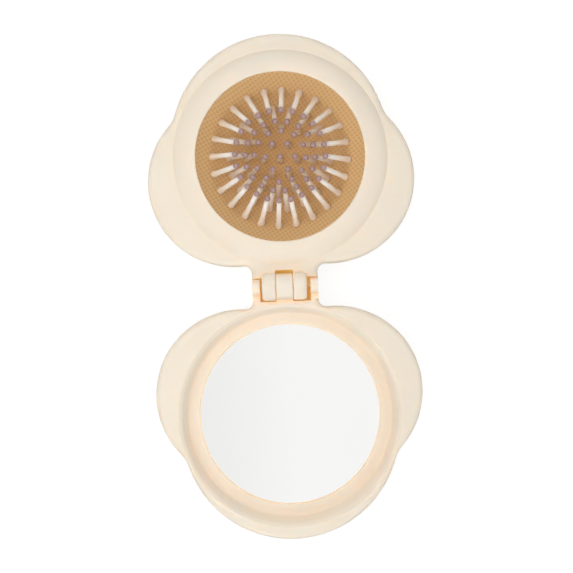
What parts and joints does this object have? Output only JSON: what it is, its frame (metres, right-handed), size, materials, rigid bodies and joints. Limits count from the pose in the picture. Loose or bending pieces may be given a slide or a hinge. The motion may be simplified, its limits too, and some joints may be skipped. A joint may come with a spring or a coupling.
{
  "type": "folding hairbrush with mirror",
  "caption": "Pocket case that opens flat: one half holds a turn-out air cushion with ball-tipped bristle pins, the other half a round mirror in a well.",
  "frame": {"origin": "on the rest surface under the hinge pin, midway along the open case", "axes": "+Y from the hinge towards the brush half, +Z out of the open inner faces, +X along the hinge pin"},
  "size_m": [0.079, 0.15, 0.0206],
  "materials": {
    "case_plastic": "satin moulded cream ABS",
    "ring_plastic": "moulded off-white plastic",
    "cushion_rubber": "matt tan rubber with a fine crosshatch",
    "pin_nylon": "translucent cream nylon with mauve ball tips",
    "mirror": "silvered glass",
    "foam": "double-sided adhesive foam",
    "steel": "plain drawn steel"
  },
  "bodies": {
    "brush_half": {"brush_back_shell": "case_plastic", "brush_face_frame": "case_plastic", "cushion_clamp_ring": "ring_plastic", "clamp_screws": "steel"},
    "mirror_half": {"mirror_back_shell": "case_plastic", "mirror_face_frame": "case_plastic", "mirror_glass": "mirror", "mirror_pad": "foam", "hinge_pin": "steel"},
    "cushion": {"air_cushion": "cushion_rubber", "centre_pins": "pin_nylon"},
    "outer_pin_01": {"outer_pin_01": "pin_nylon"},
    "outer_pin_02": {"outer_pin_02": "pin_nylon"},
    "outer_pin_03": {"outer_pin_03": "pin_nylon"},
    "outer_pin_04": {"outer_pin_04": "pin_nylon"},
    "outer_pin_05": {"outer_pin_05": "pin_nylon"},
    "outer_pin_06": {"outer_pin_06": "pin_nylon"},
    "outer_pin_07": {"outer_pin_07": "pin_nylon"},
    "outer_pin_08": {"outer_pin_08": "pin_nylon"},
    "outer_pin_09": {"outer_pin_09": "pin_nylon"},
    "outer_pin_10": {"outer_pin_10": "pin_nylon"},
    "outer_pin_11": {"outer_pin_11": "pin_nylon"},
    "outer_pin_12": {"outer_pin_12": "pin_nylon"},
    "outer_pin_13": {"outer_pin_13": "pin_nylon"},
    "outer_pin_14": {"outer_pin_14": "pin_nylon"},
    "outer_pin_15": {"outer_pin_15": "pin_nylon"},
    "outer_pin_16": {"outer_pin_16": "pin_nylon"},
    "outer_pin_17": {"outer_pin_17": "pin_nylon"},
    "outer_pin_18": {"outer_pin_18": "pin_nylon"},
    "outer_pin_19": {"outer_pin_19": "pin_nylon"},
    "outer_pin_20": {"outer_pin_20": "pin_nylon"},
    "outer_pin_21": {"outer_pin_21": "pin_nylon"},
    "outer_pin_22": {"outer_pin_22": "pin_nylon"},
    "outer_pin_23": {"outer_pin_23": "pin_nylon"},
    "outer_pin_24": {"outer_pin_24": "pin_nylon"},
    "middle_pin_01": {"middle_pin_01": "pin_nylon"},
    "middle_pin_02": {"middle_pin_02": "pin_nylon"},
    "middle_pin_03": {"middle_pin_03": "pin_nylon"},
    "middle_pin_04": {"middle_pin_04": "pin_nylon"},
    "middle_pin_05": {"middle_pin_05": "pin_nylon"},
    "middle_pin_06": {"middle_pin_06": "pin_nylon"},
    "middle_pin_07": {"middle_pin_07": "pin_nylon"},
    "middle_pin_08": {"middle_pin_08": "pin_nylon"},
    "middle_pin_09": {"middle_pin_09": "pin_nylon"},
    "middle_pin_10": {"middle_pin_10": "pin_nylon"},
    "middle_pin_11": {"middle_pin_11": "pin_nylon"},
    "middle_pin_12": {"middle_pin_12": "pin_nylon"},
    "middle_pin_13": {"middle_pin_13": "pin_nylon"},
    "middle_pin_14": {"middle_pin_14": "pin_nylon"},
    "middle_pin_15": {"middle_pin_15": "pin_nylon"},
    "middle_pin_16": {"middle_pin_16": "pin_nylon"},
    "middle_pin_17": {"middle_pin_17": "pin_nylon"},
    "middle_pin_18": {"middle_pin_18": "pin_nylon"},
    "inner_pins_01": {"inner_pins_01": "pin_nylon"},
    "inner_pins_02": {"inner_pins_02": "pin_nylon"},
    "inner_pins_03": {"inner_pins_03": "pin_nylon"},
    "inner_pins_04": {"inner_pins_04": "pin_nylon"},
    "inner_pins_05": {"inner_pins_05": "pin_nylon"},
    "inner_pins_06": {"inner_pins_06": "pin_nylon"}
  },
  "joints": [
    {"name": "case_hinge", "type": "hinge", "parent": "brush_half", "child": "mirror_half", "pos_m": [0, 0, 0.0148], "axis": [1, 0, 0], "range_deg": [-180, 0]},
    {"name": "cushion_pop", "type": "slide", "parent": "brush_half", "child": "cushion", "axis": [0, 0, 1], "range_m": [0, 0.02267], "deforming": ["air_cushion", "centre_pins", "outer_pin_01", "outer_pin_02", "outer_pin_03", "outer_pin_04", "outer_pin_05", "outer_pin_06", "outer_pin_07", "outer_pin_08", "outer_pin_09", "outer_pin_10", "outer_pin_11", "outer_pin_12", "outer_pin_13", "outer_pin_14", "outer_pin_15", "outer_pin_16", "outer_pin_17", "outer_pin_18", "outer_pin_19", "outer_pin_20", "outer_pin_21", "outer_pin_22", "outer_pin_23", "outer_pin_24", "middle_pin_01", "middle_pin_02", "middle_pin_03", "middle_pin_04", "middle_pin_05", "middle_pin_06", "middle_pin_07", "middle_pin_08", "middle_pin_09", "middle_pin_10", "middle_pin_11", "middle_pin_12", "middle_pin_13", "middle_pin_14", "middle_pin_15", "middle_pin_16", "middle_pin_17", "middle_pin_18", "inner_pins_01", "inner_pins_02", "inner_pins_03", "inner_pins_04", "inner_pins_05", "inner_pins_06"]},
    {"name": "outer_pin_01_tilt", "type": "hinge", "parent": "brush_half", "child": "outer_pin_01", "pos_m": [0.00154, 0.06416, 0.01635], "axis": [-0.9982, 0.0593, 0], "range_deg": [0, 83.22]},
    {"name": "outer_pin_02_tilt", "type": "hinge", "parent": "brush_half", "child": "outer_pin_02", "pos_m": [0.00819, 0.06288, 0.01635], "axis": [-0.9489, 0.3156, 0], "range_deg": [0, 83.22]},
    {"name": "outer_pin_03_tilt", "type": "hinge", "parent": "brush_half", "child": "outer_pin_03", "pos_m": [0.01428, 0.05993, 0.01635], "axis": [-0.8348, 0.5505, 0], "range_deg": [0, 83.22]},
    {"name": "outer_pin_04_tilt", "type": "hinge", "parent": "brush_half", "child": "outer_pin_04", "pos_m": [0.0194, 0.05549, 0.01635], "axis": [-0.6639, 0.7478, 0], "range_deg": [0, 83.22]},
    {"name": "outer_pin_05_tilt", "type": "hinge", "parent": "brush_half", "child": "outer_pin_05", "pos_m": [0.02319, 0.04989, 0.01635], "axis": [-0.4478, 0.8942, 0], "range_deg": [0, 83.22]},
    {"name": "outer_pin_06_tilt", "type": "hinge", "parent": "brush_half", "child": "outer_pin_06", "pos_m": [0.02541, 0.04349, 0.01635], "axis": [-0.2011, 0.9796, 0], "range_deg": [0, 83.22]},
    {"name": "outer_pin_07_tilt", "type": "hinge", "parent": "brush_half", "child": "outer_pin_07", "pos_m": [0.02589, 0.03673, 0.01635], "axis": [0.0593, 0.9982, 0], "range_deg": [0, 83.22]},
    {"name": "outer_pin_08_tilt", "type": "hinge", "parent": "brush_half", "child": "outer_pin_08", "pos_m": [0.02461, 0.03008, 0.01635], "axis": [0.3156, 0.9489, 0], "range_deg": [0, 83.22]},
    {"name": "outer_pin_09_tilt", "type": "hinge", "parent": "brush_half", "child": "outer_pin_09", "pos_m": [0.02166, 0.02399, 0.01635], "axis": [0.5505, 0.8348, 0], "range_deg": [0, 83.22]},
    {"name": "outer_pin_10_tilt", "type": "hinge", "parent": "brush_half", "child": "outer_pin_10", "pos_m": [0.01722, 0.01887, 0.01635], "axis": [0.7478, 0.6639, 0], "range_deg": [0, 83.22]},
    {"name": "outer_pin_11_tilt", "type": "hinge", "parent": "brush_half", "child": "outer_pin_11", "pos_m": [0.01162, 0.01508, 0.01635], "axis": [0.8942, 0.4478, 0], "range_deg": [0, 83.22]},
    {"name": "outer_pin_12_tilt", "type": "hinge", "parent": "brush_half", "child": "outer_pin_12", "pos_m": [0.00522, 0.01286, 0.01635], "axis": [0.9796, 0.2011, 0], "range_deg": [0, 83.22]},
    {"name": "outer_pin_13_tilt", "type": "hinge", "parent": "brush_half", "child": "outer_pin_13", "pos_m": [-0.00154, 0.01238, 0.01635], "axis": [0.9982, -0.0593, 0], "range_deg": [0, 83.22]},
    {"name": "outer_pin_14_tilt", "type": "hinge", "parent": "brush_half", "child": "outer_pin_14", "pos_m": [-0.00819, 0.01366, 0.01635], "axis": [0.9489, -0.3156, 0], "range_deg": [0, 83.22]},
    {"name": "outer_pin_15_tilt", "type": "hinge", "parent": "brush_half", "child": "outer_pin_15", "pos_m": [-0.01428, 0.01661, 0.01635], "axis": [0.8348, -0.5505, 0], "range_deg": [0, 83.22]},
    {"name": "outer_pin_16_tilt", "type": "hinge", "parent": "brush_half", "child": "outer_pin_16", "pos_m": [-0.0194, 0.02105, 0.01635], "axis": [0.6639, -0.7478, 0], "range_deg": [0, 83.22]},
    {"name": "outer_pin_17_tilt", "type": "hinge", "parent": "brush_half", "child": "outer_pin_17", "pos_m": [-0.02319, 0.02665, 0.01635], "axis": [0.4478, -0.8942, 0], "range_deg": [0, 83.22]},
    {"name": "outer_pin_18_tilt", "type": "hinge", "parent": "brush_half", "child": "outer_pin_18", "pos_m": [-0.02541, 0.03305, 0.01635], "axis": [0.2011, -0.9796, 0], "range_deg": [0, 83.22]},
    {"name": "outer_pin_19_tilt", "type": "hinge", "parent": "brush_half", "child": "outer_pin_19", "pos_m": [-0.02589, 0.03981, 0.01635], "axis": [-0.0593, -0.9982, 0], "range_deg": [0, 83.22]},
    {"name": "outer_pin_20_tilt", "type": "hinge", "parent": "brush_half", "child": "outer_pin_20", "pos_m": [-0.02461, 0.04646, 0.01635], "axis": [-0.3156, -0.9489, 0], "range_deg": [0, 83.22]},
    {"name": "outer_pin_21_tilt", "type": "hinge", "parent": "brush_half", "child": "outer_pin_21", "pos_m": [-0.02166, 0.05255, 0.01635], "axis": [-0.5505, -0.8348, 0], "range_deg": [0, 83.22]},
    {"name": "outer_pin_22_tilt", "type": "hinge", "parent": "brush_half", "child": "outer_pin_22", "pos_m": [-0.01722, 0.05767, 0.01635], "axis": [-0.7478, -0.6639, 0], "range_deg": [0, 83.22]},
    {"name": "outer_pin_23_tilt", "type": "hinge", "parent": "brush_half", "child": "outer_pin_23", "pos_m": [-0.01162, 0.06146, 0.01635], "axis": [-0.8942, -0.4478, 0], "range_deg": [0, 83.22]},
    {"name": "outer_pin_24_tilt", "type": "hinge", "parent": "brush_half", "child": "outer_pin_24", "pos_m": [-0.00522, 0.06368, 0.01635], "axis": [-0.9796, -0.2011, 0], "range_deg": [0, 83.22]},
    {"name": "middle_pin_01_tilt", "type": "hinge", "parent": "brush_half", "child": "middle_pin_01", "pos_m": [0.00756, 0.0686, 0.01635], "axis": [-0.9703, 0.2419, 0], "range_deg": [0, 55.91]},
    {"name": "middle_pin_02_tilt", "type": "hinge", "parent": "brush_half", "child": "middle_pin_02", "pos_m": [0.01748, 0.06418, 0.01635], "axis": [-0.829, 0.5592, 0], "range_deg": [0, 55.91]},
    {"name": "middle_pin_03_tilt", "type": "hinge", "parent": "brush_half", "child": "middle_pin_03", "pos_m": [0.02529, 0.05664, 0.01635], "axis": [-0.5878, 0.809, 0], "range_deg": [0, 55.91]},
    {"name": "middle_pin_04_tilt", "type": "hinge", "parent": "brush_half", "child": "middle_pin_04", "pos_m": [0.03005, 0.04689, 0.01635], "axis": [-0.2756, 0.9613, 0], "range_deg": [0, 55.91]},
    {"name": "middle_pin_05_tilt", "type": "hinge", "parent": "brush_half", "child": "middle_pin_05", "pos_m": [0.03118, 0.03609, 0.01635], "axis": [0.0698, 0.9976, 0], "range_deg": [0, 55.91]},
    {"name": "middle_pin_06_tilt", "type": "hinge", "parent": "brush_half", "child": "middle_pin_06", "pos_m": [0.02855, 0.02556, 0.01635], "axis": [0.4067, 0.9135, 0], "range_deg": [0, 55.91]},
    {"name": "middle_pin_07_tilt", "type": "hinge", "parent": "brush_half", "child": "middle_pin_07", "pos_m": [0.02248, 0.01656, 0.01635], "axis": [0.6947, 0.7193, 0], "range_deg": [0, 55.91]},
    {"name": "middle_pin_08_tilt", "type": "hinge", "parent": "brush_half", "child": "middle_pin_08", "pos_m": [0.0137, 0.01018, 0.01635], "axis": [0.8988, 0.4384, 0], "range_deg": [0, 55.91]},
    {"name": "middle_pin_09_tilt", "type": "hinge", "parent": "brush_half", "child": "middle_pin_09", "pos_m": [0.00327, 0.00718, 0.01635], "axis": [0.9945, 0.1045, 0], "range_deg": [0, 55.91]},
    {"name": "middle_pin_10_tilt", "type": "hinge", "parent": "brush_half", "child": "middle_pin_10", "pos_m": [-0.00756, 0.00794, 0.01635], "axis": [0.9703, -0.2419, 0], "range_deg": [0, 55.91]},
    {"name": "middle_pin_11_tilt", "type": "hinge", "parent": "brush_half", "child": "middle_pin_11", "pos_m": [-0.01748, 0.01236, 0.01635], "axis": [0.829, -0.5592, 0], "range_deg": [0, 55.91]},
    {"name": "middle_pin_12_tilt", "type": "hinge", "parent": "brush_half", "child": "middle_pin_12", "pos_m": [-0.02529, 0.0199, 0.01635], "axis": [0.5878, -0.809, 0], "range_deg": [0, 55.91]},
    {"name": "middle_pin_13_tilt", "type": "hinge", "parent": "brush_half", "child": "middle_pin_13", "pos_m": [-0.03005, 0.02965, 0.01635], "axis": [0.2756, -0.9613, 0], "range_deg": [0, 55.91]},
    {"name": "middle_pin_14_tilt", "type": "hinge", "parent": "brush_half", "child": "middle_pin_14", "pos_m": [-0.03118, 0.04045, 0.01635], "axis": [-0.0698, -0.9976, 0], "range_deg": [0, 55.91]},
    {"name": "middle_pin_15_tilt", "type": "hinge", "parent": "brush_half", "child": "middle_pin_15", "pos_m": [-0.02855, 0.05098, 0.01635], "axis": [-0.4067, -0.9135, 0], "range_deg": [0, 55.91]},
    {"name": "middle_pin_16_tilt", "type": "hinge", "parent": "brush_half", "child": "middle_pin_16", "pos_m": [-0.02248, 0.05998, 0.01635], "axis": [-0.6947, -0.7193, 0], "range_deg": [0, 55.91]},
    {"name": "middle_pin_17_tilt", "type": "hinge", "parent": "brush_half", "child": "middle_pin_17", "pos_m": [-0.0137, 0.06636, 0.01635], "axis": [-0.8988, -0.4384, 0], "range_deg": [0, 55.91]},
    {"name": "middle_pin_18_tilt", "type": "hinge", "parent": "brush_half", "child": "middle_pin_18", "pos_m": [-0.00327, 0.06936, 0.01635], "axis": [-0.9945, -0.1045, 0], "range_deg": [0, 55.91]},
    {"name": "inner_pins_01_tilt", "type": "hinge", "parent": "brush_half", "child": "inner_pins_01", "pos_m": [0.0177, 0.0869, 0.01635], "axis": [-0.9397, 0.342, 0], "range_deg": [0, 27.92]},
    {"name": "inner_pins_02_tilt", "type": "hinge", "parent": "brush_half", "child": "inner_pins_02", "pos_m": [0.05096, 0.04726, 0.01635], "axis": [-0.1736, 0.9848, 0], "range_deg": [0, 27.92]},
    {"name": "inner_pins_03_tilt", "type": "hinge", "parent": "brush_half", "child": "inner_pins_03", "pos_m": [0.03326, -0.00137, 0.01635], "axis": [0.766, 0.6428, 0], "range_deg": [0, 27.92]},
    {"name": "inner_pins_04_tilt", "type": "hinge", "parent": "brush_half", "child": "inner_pins_04", "pos_m": [-0.0177, -0.01036, 0.01635], "axis": [0.9397, -0.342, 0], "range_deg": [0, 27.92]},
    {"name": "inner_pins_05_tilt", "type": "hinge", "parent": "brush_half", "child": "inner_pins_05", "pos_m": [-0.05096, 0.02928, 0.01635], "axis": [0.1736, -0.9848, 0], "range_deg": [0, 27.92]},
    {"name": "inner_pins_06_tilt", "type": "hinge", "parent": "brush_half", "child": "inner_pins_06", "pos_m": [-0.03326, 0.07791, 0.01635], "axis": [-0.766, -0.6428, 0], "range_deg": [0, 27.92]}
  ],
  "couplings": [
    {"joint": "outer_pin_01_tilt", "follows": "cushion_pop", "rad_per_m": 64.076},
    {"joint": "outer_pin_02_tilt", "follows": "cushion_pop", "rad_per_m": 64.076},
    {"joint": "outer_pin_03_tilt", "follows": "cushion_pop", "rad_per_m": 64.076},
    {"joint": "outer_pin_04_tilt", "follows": "cushion_pop", "rad_per_m": 64.076},
    {"joint": "outer_pin_05_tilt", "follows": "cushion_pop", "rad_per_m": 64.076},
    {"joint": "outer_pin_06_tilt", "follows": "cushion_pop", "rad_per_m": 64.076},
    {"joint": "outer_pin_07_tilt", "follows": "cushion_pop", "rad_per_m": 64.076},
    {"joint": "outer_pin_08_tilt", "follows": "cushion_pop", "rad_per_m": 64.076},
    {"joint": "outer_pin_09_tilt", "follows": "cushion_pop", "rad_per_m": 64.076},
    {"joint": "outer_pin_10_tilt", "follows": "cushion_pop", "rad_per_m": 64.076},
    {"joint": "outer_pin_11_tilt", "follows": "cushion_pop", "rad_per_m": 64.076},
    {"joint": "outer_pin_12_tilt", "follows": "cushion_pop", "rad_per_m": 64.076},
    {"joint": "outer_pin_13_tilt", "follows": "cushion_pop", "rad_per_m": 64.076},
    {"joint": "outer_pin_14_tilt", "follows": "cushion_pop", "rad_per_m": 64.076},
    {"joint": "outer_pin_15_tilt", "follows": "cushion_pop", "rad_per_m": 64.076},
    {"joint": "outer_pin_16_tilt", "follows": "cushion_pop", "rad_per_m": 64.076},
    {"joint": "outer_pin_17_tilt", "follows": "cushion_pop", "rad_per_m": 64.076},
    {"joint": "outer_pin_18_tilt", "follows": "cushion_pop", "rad_per_m": 64.076},
    {"joint": "outer_pin_19_tilt", "follows": "cushion_pop", "rad_per_m": 64.076},
    {"joint": "outer_pin_20_tilt", "follows": "cushion_pop", "rad_per_m": 64.076},
    {"joint": "outer_pin_21_tilt", "follows": "cushion_pop", "rad_per_m": 64.076},
    {"joint": "outer_pin_22_tilt", "follows": "cushion_pop", "rad_per_m": 64.076},
    {"joint": "outer_pin_23_tilt", "follows": "cushion_pop", "rad_per_m": 64.076},
    {"joint": "outer_pin_24_tilt", "follows": "cushion_pop", "rad_per_m": 64.076},
    {"joint": "middle_pin_01_tilt", "follows": "cushion_pop", "rad_per_m": 43.048},
    {"joint": "middle_pin_02_tilt", "follows": "cushion_pop", "rad_per_m": 43.048},
    {"joint": "middle_pin_03_tilt", "follows": "cushion_pop", "rad_per_m": 43.048},
    {"joint": "middle_pin_04_tilt", "follows": "cushion_pop", "rad_per_m": 43.048},
    {"joint": "middle_pin_05_tilt", "follows": "cushion_pop", "rad_per_m": 43.048},
    {"joint": "middle_pin_06_tilt", "follows": "cushion_pop", "rad_per_m": 43.048},
    {"joint": "middle_pin_07_tilt", "follows": "cushion_pop", "rad_per_m": 43.048},
    {"joint": "middle_pin_08_tilt", "follows": "cushion_pop", "rad_per_m": 43.048},
    {"joint": "middle_pin_09_tilt", "follows": "cushion_pop", "rad_per_m": 43.048},
    {"joint": "middle_pin_10_tilt", "follows": "cushion_pop", "rad_per_m": 43.048},
    {"joint": "middle_pin_11_tilt", "follows": "cushion_pop", "rad_per_m": 43.048},
    {"joint": "middle_pin_12_tilt", "follows": "cushion_pop", "rad_per_m": 43.048},
    {"joint": "middle_pin_13_tilt", "follows": "cushion_pop", "rad_per_m": 43.048},
    {"joint": "middle_pin_14_tilt", "follows": "cushion_pop", "rad_per_m": 43.048},
    {"joint": "middle_pin_15_tilt", "follows": "cushion_pop", "rad_per_m": 43.048},
    {"joint": "middle_pin_16_tilt", "follows": "cushion_pop", "rad_per_m": 43.048},
    {"joint": "middle_pin_17_tilt", "follows": "cushion_pop", "rad_per_m": 43.048},
    {"joint": "middle_pin_18_tilt", "follows": "cushion_pop", "rad_per_m": 43.048},
    {"joint": "inner_pins_01_tilt", "follows": "cushion_pop", "rad_per_m": 21.492},
    {"joint": "inner_pins_02_tilt", "follows": "cushion_pop", "rad_per_m": 21.492},
    {"joint": "inner_pins_03_tilt", "follows": "cushion_pop", "rad_per_m": 21.492},
    {"joint": "inner_pins_04_tilt", "follows": "cushion_pop", "rad_per_m": 21.492},
    {"joint": "inner_pins_05_tilt", "follows": "cushion_pop", "rad_per_m": 21.492},
    {"joint": "inner_pins_06_tilt", "follows": "cushion_pop", "rad_per_m": 21.492}
  ]
}
